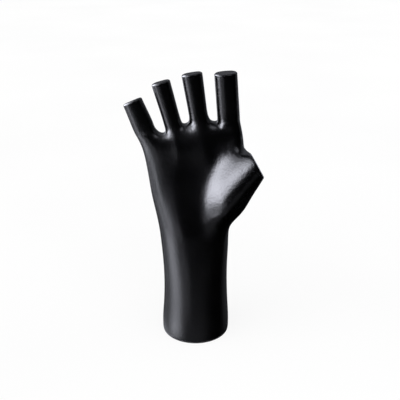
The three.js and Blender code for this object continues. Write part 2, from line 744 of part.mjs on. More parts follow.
// A geometry as a solid that can be cut, with its shared corners merged
function solidOf(geometry) {
  const loose = geometry.index ? geometry.toNonIndexed() : geometry;
  const position = loose.getAttribute("position");
  const places = new Map();
  const corners = [];
  const triangles = [];
  for (let k = 0; k < position.count; k += 1) {
    const point = [position.getX(k), position.getY(k), position.getZ(k)];
    const key = point.map((value) => Math.round(value * 1e4)).join("_");
    if (!places.has(key)) {
      places.set(key, corners.length / 3);
      corners.push(...point);
    }
    triangles.push(places.get(key));
  }
  const kept = [];
  for (let k = 0; k < triangles.length; k += 3) {
    const [a, b, c] = triangles.slice(k, k + 3);
    if (a !== b && b !== c && a !== c) kept.push(a, b, c);
  }
  return new wasm.Manifold(new wasm.Mesh({
    numProp: 3, vertProperties: new Float32Array(corners), triVerts: new Uint32Array(kept),
  }));
}

function geometryOf(solid) {
  const { vertProperties, triVerts, numProp } = solid.getMesh();
  const corners = new Float32Array((vertProperties.length / numProp) * 3);
  for (let k = 0; k < corners.length / 3; k += 1) {
    corners.set(vertProperties.subarray(k * numProp, k * numProp + 3), k * 3);
  }
  const geometry = new THREE.BufferGeometry();
  geometry.setAttribute("position", new THREE.BufferAttribute(corners, 3));
  geometry.setIndex(new THREE.BufferAttribute(new Uint32Array(triVerts), 1));
  geometry.computeVertexNormals();
  return geometry;
}

function cutAway(geometry, ...tools) {
  return geometryOf(tools.reduce((solid, tool) => solid.subtract(solidOf(tool)), solidOf(geometry)));
}

// Heights of the base's pieces, from the pad up
const footLevel = padThickness;
const discTop = footLevel + discThickness;
const ballastTop = discTop + ballastThickness;
const facetLoss = footRadius * (1 - Math.cos(Math.PI / (2 * ringSize)));
const discRadius = footRadius - wall - fit - facetLoss;
const ballastRadius = discRadius - beadLeg - ballastMargin;
const screwCircleRadius = ballastRadius - screwEdgeDistance;

const screwPlaces = [...Array(screwCount).keys()].map((k) => {
  const angle = (2 * Math.PI * k) / screwCount + Math.PI / 2;
  return [screwCircleRadius * Math.cos(angle), screwCircleRadius * Math.sin(angle)];
});

function screwHoles(bottom, top) {
  return screwPlaces.map(([x, y]) =>
    turned([[0, bottom], [screwHoleRadius, bottom], [screwHoleRadius, top], [0, top]], screwSegments)
      .translate(x, y, 0));
}

function baseDisc() {
  const pilotBottom = ballastTop - screwLength - fit;
  const disc = bevelledDisc(discRadius, footLevel, discTop, discBevel);
  return cutAway(disc, ...screwHoles(pilotBottom, discTop + 1));
}

function ballastDisc() {
  const disc = bevelledDisc(ballastRadius, discTop, ballastTop, ballastBevel);
  return cutAway(disc, ...screwHoles(discTop - 1, ballastTop + 1));
}

// A hollow-faced bead, run round the corner between the base disc and the shell. Its profile is
// given in shares of its leg, in from the shell and up from the disc.
function bondBead() {
  const shares = [[1, 0], [0, 0], [0, 1], [0.35, 0.5], [0.65, 0.22], [1, 0]];
  return turned(shares.map(([across, up]) => [discRadius - across * beadLeg, discTop + up * beadLeg]));
}

function ballastScrew() {
  const shank = ballastTop - screwLength;
  const level = ballastTop + screwHeadHeight;
  const screw = turned([
    [0, shank], [screwShankRadius, shank + screwTip], [screwShankRadius, ballastTop],
    [screwHeadRadius, ballastTop], [screwHeadRadius, ballastTop + 0.5 * screwHeadHeight],
    [0.72 * screwHeadRadius, ballastTop + 0.9 * screwHeadHeight], [0, level],
  ], screwSegments);
  const arm = () => new THREE.BoxGeometry(screwRecessLength, screwRecessWidth, 2 * screwRecessDepth);
  return cutAway(screw, arm().translate(0, 0, level), arm().rotateZ(Math.PI / 2).translate(0, 0, level));
}

// Materials

const lacquer = new THREE.MeshStandardMaterial({ color: 0x0b0b0d, roughness: 0.38, metalness: 0 });
const laminate = new THREE.MeshStandardMaterial({ color: 0xb9b48c, roughness: 0.6, metalness: 0 });
const plywood = new THREE.MeshStandardMaterial({ color: 0xc39a63, roughness: 0.7, metalness: 0 });
const resin = new THREE.MeshStandardMaterial({ color: 0x9c8f5a, roughness: 0.3, metalness: 0 });
const steel = new THREE.MeshStandardMaterial({ color: 0x6c6f73, roughness: 0.45, metalness: 0.9 });
const zinc = new THREE.MeshStandardMaterial({ color: 0xb4b8bc, roughness: 0.3, metalness: 0.9 });
const rubber = new THREE.MeshStandardMaterial({ color: 0x121212, roughness: 0.85, metalness: 0 });

const hand = new THREE.Group();
function place(name, geometry, material) {
  const mesh = new THREE.Mesh(geometry, material);
  mesh.name = name;
  hand.add(mesh);
  return mesh;
}

const cage = handCage();
const cageTopology = topology(cage.faces, cage.points.length, cage.hardEdges);
easeJoin(cage, cageTopology);
const cageNormals = evenedNormals(pointNormals(cage.points, cage.faces), cageTopology, normalRounds);
const innerWanted = cage.points.map((p, id) => {
  if (cage.innerPoints[id]) return cage.innerPoints[id];
  const { share, shift } = cage.wallShifts.get(id) ?? { share: 0, shift: cageNormals[id] };
  return cageNormals[id].clone().multiplyScalar(-wall).lerp(shift, share).add(p);
});
const outerSkin = smoothSkin(cage.points, cage, cageTopology);
const innerSkin = smoothSkin(innerWanted, cage, cageTopology);

place("palm_shell", halfShell(outerSkin, innerSkin, true), lacquer);
place("back_shell", halfShell(outerSkin, innerSkin, false), lacquer);
place("seam_tape_little_finger_side", seamTape(innerSkin, "littleFingerTape"), laminate);
place("seam_tape_thumb_side", seamTape(innerSkin, "thumbTape"), laminate);
place("base_disc", baseDisc(), plywood);
place("bond_bead", bondBead(), resin);
place("ballast_disc", ballastDisc(), steel);
screwPlaces.forEach(([x, y], k) => {
  place(`ballast_screw_${k + 1}`, ballastScrew(), zinc).position.set(x, y, 0);
});
place("foot_pad", bevelledDisc(footRadius - padInset, 0, padThickness, padThickness / 4), rubber);

export default hand;
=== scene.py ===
import json
import math
from typing import NamedTuple

import bmesh
import bpy
from bpy.props import FloatProperty, FloatVectorProperty, IntProperty, PointerProperty
from bpy.types import Operator, Panel, PropertyGroup
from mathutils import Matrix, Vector
from mathutils.kdtree import KDTree

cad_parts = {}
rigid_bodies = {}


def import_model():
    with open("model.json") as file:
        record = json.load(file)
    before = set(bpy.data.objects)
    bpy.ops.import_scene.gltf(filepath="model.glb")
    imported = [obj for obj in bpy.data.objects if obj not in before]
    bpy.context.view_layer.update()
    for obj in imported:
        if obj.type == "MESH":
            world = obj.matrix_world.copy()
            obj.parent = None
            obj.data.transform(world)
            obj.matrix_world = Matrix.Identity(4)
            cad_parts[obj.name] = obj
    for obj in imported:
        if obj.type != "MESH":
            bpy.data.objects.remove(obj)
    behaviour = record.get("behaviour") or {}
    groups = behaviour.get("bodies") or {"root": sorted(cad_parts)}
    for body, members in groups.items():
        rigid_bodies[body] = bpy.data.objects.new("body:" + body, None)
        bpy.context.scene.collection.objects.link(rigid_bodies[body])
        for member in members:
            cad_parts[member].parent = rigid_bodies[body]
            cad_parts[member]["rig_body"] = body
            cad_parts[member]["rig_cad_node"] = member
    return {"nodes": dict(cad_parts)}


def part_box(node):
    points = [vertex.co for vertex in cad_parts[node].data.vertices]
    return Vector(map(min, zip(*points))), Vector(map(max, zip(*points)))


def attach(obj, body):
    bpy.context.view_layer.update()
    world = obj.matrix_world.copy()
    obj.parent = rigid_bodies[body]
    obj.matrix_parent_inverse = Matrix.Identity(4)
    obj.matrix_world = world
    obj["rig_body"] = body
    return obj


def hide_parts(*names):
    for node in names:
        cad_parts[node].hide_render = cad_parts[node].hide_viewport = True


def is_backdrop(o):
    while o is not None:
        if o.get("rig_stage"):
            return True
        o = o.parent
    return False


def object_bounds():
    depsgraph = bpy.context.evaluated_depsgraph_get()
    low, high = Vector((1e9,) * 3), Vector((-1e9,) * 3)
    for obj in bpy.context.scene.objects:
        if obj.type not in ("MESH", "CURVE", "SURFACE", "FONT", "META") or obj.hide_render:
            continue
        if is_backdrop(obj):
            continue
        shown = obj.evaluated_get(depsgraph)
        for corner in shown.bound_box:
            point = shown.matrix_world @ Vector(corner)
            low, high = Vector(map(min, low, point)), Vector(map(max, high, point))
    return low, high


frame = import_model()
cad_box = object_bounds()

bl_info = {
    "name": "Glove display hand",
    "version": (1, 0, 0),
    "blender": (4, 5, 0),
    "location": "View3D > Sidebar > Display hand",
    "description": "Dresses the packed frame of a lacquered glove display hand",
    "category": "Object",
}

MM = 0.001

SHELL_NODES = ("palm_shell", "back_shell")
TAPE_NODES = ("seam_tape_little_finger_side", "seam_tape_thumb_side")
SCREW_NODES = ("ballast_screw_1", "ballast_screw_2", "ballast_screw_3")


# Selecting and editing

MERGE_REACH = 0.01 * MM  # corners closer than this are one
LEVEL_NORMAL = 0.9  # a face is level where its normal's upright part is more than this
ROUND_STEPS = 3  # faces across a rounded edge


def deselect():
    """Leaves edit mode and selects nothing."""
    if bpy.context.mode != "OBJECT":
        bpy.ops.object.mode_set(mode="OBJECT")
    bpy.ops.object.select_all(action="DESELECT")


def pick(*objects):
    """Selects only these objects and makes the first one active."""
    deselect()
    for one in objects:
        one.select_set(True)
    bpy.context.view_layer.objects.active = objects[0]


def edit(piece, mode="FACE"):
    """Enters edit mode on a piece with nothing selected."""
    pick(piece)
    bpy.ops.object.mode_set(mode="EDIT")
    bpy.ops.mesh.select_mode(type=mode)
    bpy.ops.mesh.select_all(action="DESELECT")


def done():
    """Leaves edit mode."""
    bpy.ops.object.mode_set(mode="OBJECT")


def select_faces(piece, wanted):
    """Selects the faces for which wanted(face) holds, in edit mode."""
    mesh = bmesh.from_edit_mesh(piece.data)
    for face in mesh.faces:
        face.select_set(wanted(face))
    mesh.select_flush_mode()
    bmesh.update_edit_mesh(piece.data)


def select_edges(piece, wanted):
    """Selects the edges for which wanted(edge) holds, in edit mode, and gives their number."""
    mesh = bmesh.from_edit_mesh(piece.data)
    count = 0
    for edge in mesh.edges:
        chosen = wanted(edge)
        edge.select_set(chosen)
        count += chosen
    bmesh.update_edit_mesh(piece.data)
    return count


def is_level(face):
    """A face that lies level, whichever way up."""
    return abs(face.normal.z) > LEVEL_NORMAL


def round_edges(width):
    """Rounds the selected edges, in edit mode."""
    bpy.ops.mesh.bevel(offset=width, offset_type="OFFSET", segments=ROUND_STEPS, profile=0.5)


def apply_modifier(piece, kind, **settings):
    """Changes a piece's mesh by one modifier."""
    modifier = piece.modifiers.new(kind.title(), kind)
    for key, value in settings.items():
        setattr(modifier, key, value)
    pick(piece)
    bpy.ops.object.modifier_apply(modifier=modifier.name)


def merged_copy(nodes, name):
    """A new piece from copies of CAD nodes, with their loose triangles joined at the corners."""
    pick(*[frame["nodes"][node] for node in nodes])
    bpy.ops.object.duplicate()
    bpy.ops.object.join()
    piece = bpy.context.active_object
    piece.name = name
    piece.data.name = name
    piece.parent = None
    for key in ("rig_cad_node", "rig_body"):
        if key in piece:
            del piece[key]
    bpy.ops.mesh.customdata_custom_splitnormals_clear()
    edit(piece, "VERT")
    bpy.ops.mesh.select_all(action="SELECT")
    bpy.ops.mesh.remove_doubles(threshold=MERGE_REACH)
    done()
    return piece


def check_closed(piece):
    """Stops the script if a piece isn't one closed skin."""
    mesh = bmesh.new()
    mesh.from_mesh(piece.data)
    faults = sum(not edge.is_manifold for edge in mesh.edges)
    mesh.free()
    if faults:
        raise RuntimeError(f"{piece.name} has {faults} open edges")


def finish_piece(piece, shade_turn, material, slot, *nodes):
    """Checks and smooths a piece, gives it its finish, sets it on the root body and hides the nodes it
    stands for.
    """
    check_closed(piece)
    pick(piece)
    bpy.ops.object.shade_smooth_by_angle(angle=shade_turn)
    piece.data.materials.clear()
    piece.data.materials.append(material)
    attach(piece, "root")
    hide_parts(*nodes)


def dress(material, *names):
    """Gives carried-over CAD nodes a finish."""
    for name in names:
        node = frame["nodes"][name]
        node.data.materials.clear()
        node.data.materials.append(material)


# The sizes and colours that a user would change


class DISPLAY_HAND_PG_lacquer(PropertyGroup):
    """The lacquer of the shell."""

    colour: FloatVectorProperty(
        name="Lacquer colour", description="Colour of the lacquer", subtype="COLOR", size=3,
        min=0, max=1, default=(0.0006, 0.0006, 0.0008),
    )
    dust_colour: FloatVectorProperty(
        name="Dust colour", description="Colour where a little dust lies in the lacquer",
        subtype="COLOR", size=3, min=0, max=1, default=(0.0028, 0.0028, 0.0031),
    )
    roughness: FloatProperty(
        name="Roughness", description="Middle roughness of the satin lacquer", subtype="FACTOR",
        min=0, max=1, default=0.2,
    )
    roughness_spread: FloatProperty(
        name="Roughness spread", description="How far the roughness strays to either side",
        subtype="FACTOR", min=0, max=0.2, default=0.015,
    )
    peel_size: FloatProperty(
        name="Peel size", description="Width of a bump of the sprayed lacquer's orange peel",
        unit="LENGTH", min=0.1 * MM, default=0.7 * MM,
    )
    peel_depth: FloatProperty(
        name="Peel depth", description="Depth of the orange peel", unit="LENGTH", min=0,
        default=0.06 * MM,
    )
    grain_size: FloatProperty(
        name="Grain size", description="Width of the coarser grain under the orange peel",
        unit="LENGTH", min=0.3 * MM, default=2.2 * MM,
    )
    grain_depth: FloatProperty(
        name="Grain depth", description="Depth of the coarser grain", unit="LENGTH", min=0,
        default=0.12 * MM,
    )
    wave_size: FloatProperty(
        name="Wave size", description="Width of the slow waves of the rubbed laminate",
        unit="LENGTH", min=1 * MM, default=14 * MM,
    )
    wave_depth: FloatProperty(
        name="Wave depth", description="Depth of the slow waves", unit="LENGTH", min=0,
        default=0.02 * MM,
    )


class DISPLAY_HAND_PG_shell(PropertyGroup):
    """The shape of the shell."""

    smoothing: IntProperty(
        name="Smoothing", description="How many times the skin's faces are split in four",
        min=0, max=2, default=2,
    )
    soft_rounds: IntProperty(
        name="Soft rounds", min=0, default=300,
        description="How often the finger rims, the webs and the ball's ridge are rubbed smoother",
    )
    foot_round: FloatProperty(
        name="Foot rounding", description="Width of the rounding on the foot's outer edge",
        unit="LENGTH", min=0, default=0.7 * MM,
    )


class DISPLAY_HAND_PG_base(PropertyGroup):
    """The rubber pad and the pieces inside the foot."""

    rubber_colour: FloatVectorProperty(
        name="Rubber colour", description="Colour of the pad under the foot", subtype="COLOR",
        size=3, min=0, max=1, default=(0.014, 0.014, 0.015),
    )
    pad_round: FloatProperty(
        name="Pad rounding", description="Width of the rounding on the rubber pad's edges",
        unit="LENGTH", min=0, default=0.3 * MM,
    )
    pad_sides: IntProperty(
        name="Pad sides", description="Number of sides of the rubber pad's round", min=32,
        default=144,
    )
    ply_thickness: FloatProperty(
        name="Ply thickness", description="Thickness of one ply of the base disc", unit="LENGTH",
        min=0.2 * MM, default=1.4 * MM,
    )
    wood_light: FloatVectorProperty(
        name="Light wood", description="Light colour of the plywood", subtype="COLOR", size=3,
        min=0, max=1, default=(0.62, 0.44, 0.25),
    )
    wood_dark: FloatVectorProperty(
        name="Dark wood", description="Dark colour of the plywood", subtype="COLOR", size=3,
        min=0, max=1, default=(0.42, 0.25, 0.12),
    )
    steel_colour: FloatVectorProperty(
        name="Steel colour", description="Colour of the ballast disc", subtype="COLOR", size=3,
        min=0, max=1, default=(0.3, 0.31, 0.32),
    )
    zinc_colour: FloatVectorProperty(
        name="Zinc colour", description="Colour of the plated screws", subtype="COLOR", size=3,
        min=0, max=1, default=(0.6, 0.62, 0.64),
    )
    resin_colour: FloatVectorProperty(
        name="Resin colour", description="Colour of the resin bead", subtype="COLOR", size=3,
        min=0, max=1, default=(0.42, 0.34, 0.14),
    )
    glass_colour: FloatVectorProperty(
        name="Glass tape colour", description="Colour of the glass-fibre tape", subtype="COLOR",
        size=3, min=0, max=1, default=(0.55, 0.52, 0.36),
    )


class DISPLAY_HAND_PG_studio(PropertyGroup):
    """The lights and the floor."""

    floor_glow: FloatProperty(
        name="Floor glow", description="Share of the floor's white that shadows don't reach",
        subtype="FACTOR", min=0, max=1, default=0.86,
    )
    room_light: FloatProperty(
        name="Room light", description="Strength of the even light of the room", min=0, default=1,
    )
    sun_strength: FloatProperty(
        name="Lamp strength", description="Strength of the one soft lamp", min=0, default=0.35,
    )
    sun_width: FloatProperty(
        name="Lamp width", description="How wide the soft lamp looks", subtype="ANGLE", min=0,
        default=math.radians(40),
    )
    gloss_light: FloatProperty(
        name="Soft box strength", description="Strength of all the soft boxes together", min=0,
        default=1,
    )


# Materials

NOISE_LOW = 0.3  # a noise's values lie mostly between these two
NOISE_HIGH = 0.7


def shade(colour, factor, lift=0.0):
    """A darker or paler version of a colour."""
    return [min(1, factor * part + lift) for part in colour]


class Recipe:
    """Builds a material's nodes with short calls."""

    def __init__(self, name):
        self.material = bpy.data.materials.new(name)
        self.material.use_nodes = True
        self.nodes = self.material.node_tree.nodes
        self.links = self.material.node_tree.links
        self.shader = self.nodes["Principled BSDF"]
        self.place = None

    def fill(self, socket, value):
        """Links a socket to another node's output, or sets it to a value."""
        if isinstance(value, bpy.types.NodeSocket):
            self.links.new(value, socket)
        else:
            socket.default_value = value

    def finish(self, **values):
        """Sets the shader's sockets, named with _ for a space, and gives the material."""
        for name, value in values.items():
            self.fill(self.shader.inputs[name.replace("_", " ")], value)
        return self.material

    def finish_stage(self, node):
        """Puts a node on the surface in place of the shader, and gives the material."""
        self.nodes.remove(self.shader)
        self.links.new(node.outputs[0], self.nodes["Material Output"].inputs["Surface"])
        self.material.cycles.emission_sampling = "NONE"
        return self.material

    def node(self, kind, inputs=(), **settings):
        """A new node with its settings, and its inputs by name or number."""
        node = self.nodes.new("ShaderNode" + kind)
        for key, value in settings.items():
            setattr(node, key, value)
        for key, value in dict(inputs).items():
            self.fill(node.inputs[key], value)
        return node

    def coordinates(self, stretch=(1, 1, 1)):
        """Places on the piece, in metres, drawn out along an axis where stretch is above one."""
        if self.place is None:
            self.place = self.node("TexCoord").outputs["Object"]
        if stretch == (1, 1, 1):
            return self.place
        scale = [1 / part for part in stretch]
        return self.node("Mapping", {"Vector": self.place, "Scale": scale}).outputs[0]

    def noise(self, size, detail=2.0, stretch=(1, 1, 1), roughness=0.5):
        """Cloudy noise whose spots are about the given size."""
        inputs = {
            "Vector": self.coordinates(stretch), "Scale": 1 / size, "Detail": detail,
            "Roughness": roughness,
        }
        return self.node("TexNoise", inputs).outputs["Fac"]

    def maths(self, operation, *values):
        """The result of one Math node."""
        return self.node("Math", enumerate(values), operation=operation).outputs[0]

    def between(self, value, low, high, start=0.0, end=1.0):
        """A value from start to end, turned into one from low to high."""
        inputs = {"Value": value, "From Min": start, "From Max": end, "To Min": low, "To Max": high}
        return self.node("MapRange", inputs).outputs["Result"]

    def from_noise(self, noise, low, high):
        """A noise, turned into a value that lies mostly from low to high."""
        return self.between(noise, low, high, NOISE_LOW, NOISE_HIGH)

    def blend(self, first, second, share):
        """A share of the first value, and the rest of the second."""
        first_part = self.maths("MULTIPLY", first, share)
        second_part = self.maths("MULTIPLY", second, 1 - share)
        return self.maths("ADD", first_part, second_part)

    def colours(self, value, *stops):
        """A colour for a value, from stops of place and colour."""
        node = self.node("ValToRGB", {"Fac": value})
        ramp = node.color_ramp
        while len(ramp.elements) < len(stops):
            ramp.elements.new(0.5)
        for element, (place, colour) in zip(ramp.elements, stops):
            element.position = place
            element.color = (*colour, 1)
        return node.outputs["Color"]

    def bump(self, height, depth, below=None):
        """Relief of the given depth in metres, over another relief."""
        inputs = {"Height": height, "Distance": depth, "Strength": 1.0}
        if below is not None:
            inputs["Normal"] = below
        return self.node("Bump", inputs).outputs["Normal"]


def lacquer_material(lacquer):
    """Sprayed satin black lacquer: slow waves, grain and orange peel, and a little dust."""
    recipe = Recipe("satin_black_lacquer")
    peel = recipe.noise(lacquer.peel_size, detail=1.5)
    grain = recipe.noise(lacquer.grain_size, detail=1.0)
    waves = recipe.noise(lacquer.wave_size, detail=1.0)
    patches = recipe.noise(size=22 * MM, detail=3.0)
    specks = recipe.noise(size=0.7 * MM, detail=0.5)
    dusty_specks = recipe.maths("MULTIPLY", specks, patches)
    dust = recipe.between(dusty_specks, 0, 1, start=0.3, end=0.5)
    colour = recipe.colours(dust, (0, lacquer.colour), (1, lacquer.dust_colour))
    smoothest = lacquer.roughness - lacquer.roughness_spread
    roughest = lacquer.roughness + lacquer.roughness_spread
    roughness = recipe.from_noise(patches, smoothest, roughest)
    relief = recipe.bump(waves, lacquer.wave_depth)
    relief = recipe.bump(grain, lacquer.grain_depth, relief)
    relief = recipe.bump(peel, lacquer.peel_depth, relief)
    return recipe.finish(Base_Color=colour, Roughness=roughness, Normal=relief)


def rubber_material(base):
    """Matt black sheet rubber with a fine cloth-pressed grain."""
    recipe = Recipe("black_sheet_rubber")
    dark = shade(base.rubber_colour, 0.6)
    pale = shade(base.rubber_colour, 2.2)
    grain = recipe.noise(size=0.35 * MM)
    scuffs = recipe.noise(size=7 * MM, detail=4.0, stretch=(3, 1, 1))
    mixed = recipe.blend(grain, scuffs, share=0.5)
    colour = recipe.colours(mixed, (0.3, dark), (0.55, base.rubber_colour), (0.75, pale))
    roughness = recipe.from_noise(scuffs, low=0.72, high=0.92)
    relief = recipe.bump(grain, depth=0.03 * MM)
    return recipe.finish(Base_Color=colour, Roughness=roughness, Normal=relief)


def plywood_material(base):
    """Sanded plywood: plies that change direction, with long grain on one and end grain on the next."""
    recipe = Recipe("sanded_plywood")
    ply = base.ply_thickness
    height = recipe.node("SeparateXYZ", {0: recipe.coordinates()}).outputs["Z"]
    in_ply = recipe.maths("PINGPONG", height, ply)
    layer = recipe.between(in_ply, 0, 1, start=0.35 * ply, end=0.65 * ply)
    fibre = {"size": 0.8 * MM, "detail": 3.0, "roughness": 0.6}
    long_grain = recipe.noise(stretch=(14, 1, 1), **fibre)
    cross_grain = recipe.noise(stretch=(1, 14, 1), **fibre)
    grain = recipe.node("Mix", {0: layer, 2: long_grain, 3: cross_grain}, data_type="FLOAT").outputs[0]
    tone = recipe.blend(grain, layer, share=0.7)
    colour = recipe.colours(tone, (0.25, base.wood_dark), (0.75, base.wood_light))
    off_middle = recipe.maths("ABSOLUTE", recipe.maths("SUBTRACT", layer, 0.5))
    bare_wood = recipe.maths("GREATER_THAN", off_middle, 0.32)  # and not the glue between two plies
    roughness = recipe.between(bare_wood, low=0.55, high=0.74)
    relief = recipe.bump(grain, depth=0.05 * MM)
    return recipe.finish(Base_Color=colour, Roughness=roughness, Normal=relief)


def steel_material(base):
    """Raw laser-cut plate: blotchy mill scale, fine rolling lines and a few rust freckles."""
    recipe = Recipe("raw_steel_plate")
    scale = recipe.noise(size=9 * MM, detail=5.0)
    lines = recipe.noise(size=0.3 * MM, stretch=(1, 30, 1))
    freckles = recipe.noise(size=1.6 * MM)
    dark = shade(base.steel_colour, 0.55)
    blotches = recipe.colours(scale, (0.35, dark), (0.65, base.steel_colour))
    rust_colour = (0.2, 0.08, 0.03, 1)
    rust = recipe.between(freckles, low=0, high=0.7, start=0.68, end=0.78)
    colour = recipe.node("Mix", {0: rust, 6: blotches, 7: rust_colour}, data_type="RGBA").outputs[2]
    roughness = recipe.from_noise(scale, low=0.34, high=0.58)
    relief = recipe.bump(lines, depth=0.008 * MM)
    relief = recipe.bump(freckles, depth=0.02 * MM, below=relief)
    return recipe.finish(Base_Color=colour, Metallic=0.9, Roughness=roughness, Normal=relief)


def zinc_material(base):
    """Bright zinc plate with a faint blue and straw cast and fine drawing marks."""
    recipe = Recipe("bright_zinc_plate")
    cast = recipe.noise(size=2.4 * MM)
    marks = recipe.noise(size=0.12 * MM, detail=1.0, stretch=(1, 1, 6))
    red, green, blue = base.zinc_colour
    bluish = (0.92 * red, 0.97 * green, 1.06 * blue)
    straw = (1.05 * red, green, 0.86 * blue)
    colour = recipe.colours(cast, (0.3, bluish), (0.5, base.zinc_colour), (0.7, straw))
    roughness = recipe.from_noise(marks, low=0.2, high=0.36)
    relief = recipe.bump(marks, depth=0.01 * MM)
    return recipe.finish(Base_Color=colour, Metallic=1.0, Roughness=roughness, Normal=relief)


def resin_material(base):
    """Cured amber resin with clouding and small bubbles."""
    recipe = Recipe("cured_resin")
    clouds = recipe.noise(size=3 * MM, detail=3.0)
    bubble_size = 0.9 * MM
    inputs = {"Vector": recipe.coordinates(), "Scale": 1 / bubble_size}
    bubbles = recipe.node("TexVoronoi", inputs).outputs["Distance"]
    dark = shade(base.resin_colour, 0.62)
    pale = shade(base.resin_colour, 1.35)
    colour = recipe.colours(clouds, (0.3, dark), (0.55, base.resin_colour), (0.75, pale))
    pits = recipe.between(bubbles, 0, 1, start=0.05, end=0.3)
    relief = recipe.bump(pits, depth=0.06 * MM)
    return recipe.finish(Base_Color=colour, Roughness=0.28, Normal=relief)


def glass_tape_material(base):
    """Woven glass tape wetted out with resin: crossing rovings with pale fibres on the crowns."""
    recipe = Recipe("glass_fibre_tape")
    pitch = 2.2 * MM
    turns = 2 * math.pi / pitch
    place = recipe.node("SeparateXYZ", {0: recipe.coordinates()}).outputs
    across = recipe.maths("ADD", place["X"], place["Y"])
    warp = recipe.maths("SINE", recipe.maths("MULTIPLY", place["Z"], turns))
    weft = recipe.maths("SINE", recipe.maths("MULTIPLY", across, turns))
    weave = recipe.between(recipe.maths("MULTIPLY", warp, weft), 0, 1, start=-1, end=1)
    fibres = recipe.noise(size=0.25 * MM, stretch=(1, 1, 8))
    mixed = recipe.blend(weave, fibres, share=0.7)
    dark = shade(base.glass_colour, 0.6)
    pale = shade(base.glass_colour, 1.25, lift=0.08)
    colour = recipe.colours(mixed, (0.2, dark), (0.5, base.glass_colour), (0.8, pale))
    roughness = recipe.from_noise(fibres, low=0.35, high=0.65)
    relief = recipe.bump(mixed, depth=0.15 * MM)
    return recipe.finish(Base_Color=colour, Roughness=roughness, Normal=relief)


# The shell

SEAM_REACH = 0.31 * MM  # corners of the two halves that face each other lie closer than this
SKIN_TURN = math.radians(50)  # a skin runs on over edges that are blunter than this
WALL_TURN = math.radians(20)  # and along the seam over edges that are blunter than this
SEED_LEVEL = 60 * MM  # a height on the forearm, where the inner skin is found
SEED_BAND = 10 * MM  # how far above or below it a face may lie
PAD_BOTTOM, PAD_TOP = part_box("foot_pad")  # its lowest and its highest corner
PAD_RADIUS = PAD_TOP.x
FOOT_BAND = 0.2 * MM  # corners of the shell's level foot face are less than this above the pad
QUAD_TURN = math.radians(60)  # two triangles that are bent or skewed less than this become one face
SKIN_SHADE_TURN = math.radians(35)  # an edge shows as an edge where it turns more than this
RUB_SHARE = 0.5  # how far one round of rubbing takes a corner towards its neighbours


class SoftSpots(NamedTuple):
    """Places of one kind where the rubbed laminate runs softer than the solids."""

    places: tuple
    radius: float
    softness: float  # from 0, as the solids are, to 1


def at_mm(x, y, z):
    """A place that is given in millimetres."""
    return Vector((x * MM, y * MM, z * MM))


SOFT_SPOTS = (
    # Rims of the finger cuts, from the little finger to the index finger
    SoftSpots(
        places=(at_mm(-53, 0, 226), at_mm(-29, 0, 242), at_mm(-2, 0, 249), at_mm(26, 0, 250)),
        radius=14 * MM, softness=0.02,
    ),
    # Webs between the fingers, from the one beside the little finger
    SoftSpots(
        places=(at_mm(-29, -5, 200), at_mm(-9, -5, 207), at_mm(16, -6, 208)),
        radius=9 * MM, softness=0.15,
    ),
    # Web between the thumb and the index finger
    SoftSpots(places=(at_mm(40, -14, 187),), radius=12 * MM, softness=1),
    # Ridge of the thumb's ball, from its top to its bottom
    SoftSpots(
        places=(
            at_mm(45, -30, 173), at_mm(37, -31, 163), at_mm(28, -31, 152), at_mm(18, -27, 140),
        ),
        radius=12 * MM, softness=0.1,
    ),
)


def spread(seeds, neighbours):
    """Everything that the seeds reach from neighbour to neighbour."""
    reached = set(seeds)
    waiting = list(seeds)
    while waiting:
        for other in neighbours(waiting.pop()):
            if other not in reached:
                reached.add(other)
                waiting.append(other)
    return reached


def corners_at_seam(mesh):
    """Corners of either half that have one of the other half right across the seam."""

    def joined(corner):
        return [edge.other_vert(corner) for edge in corner.link_edges]

    first_half = spread(mesh.verts[:1], joined)
    halves = (first_half, set(mesh.verts) - first_half)
    found = set()
    for own, facing in (halves, reversed(halves)):
        tree = KDTree(len(facing))
        for number, corner in enumerate(facing):
            tree.insert(corner.co, number)
        tree.balance()
        found.update(corner for corner in own if tree.find(corner.co)[2] < SEAM_REACH)
    return found


def is_foot_edge(edge):
    """An edge between the shell's level foot face and one of its skins."""
    if len(edge.link_faces) != 2:
        return False
    if max(corner.co.z for corner in edge.verts) > PAD_TOP.z + FOOT_BAND:
        return False
    return is_level(edge.link_faces[0]) != is_level(edge.link_faces[1])


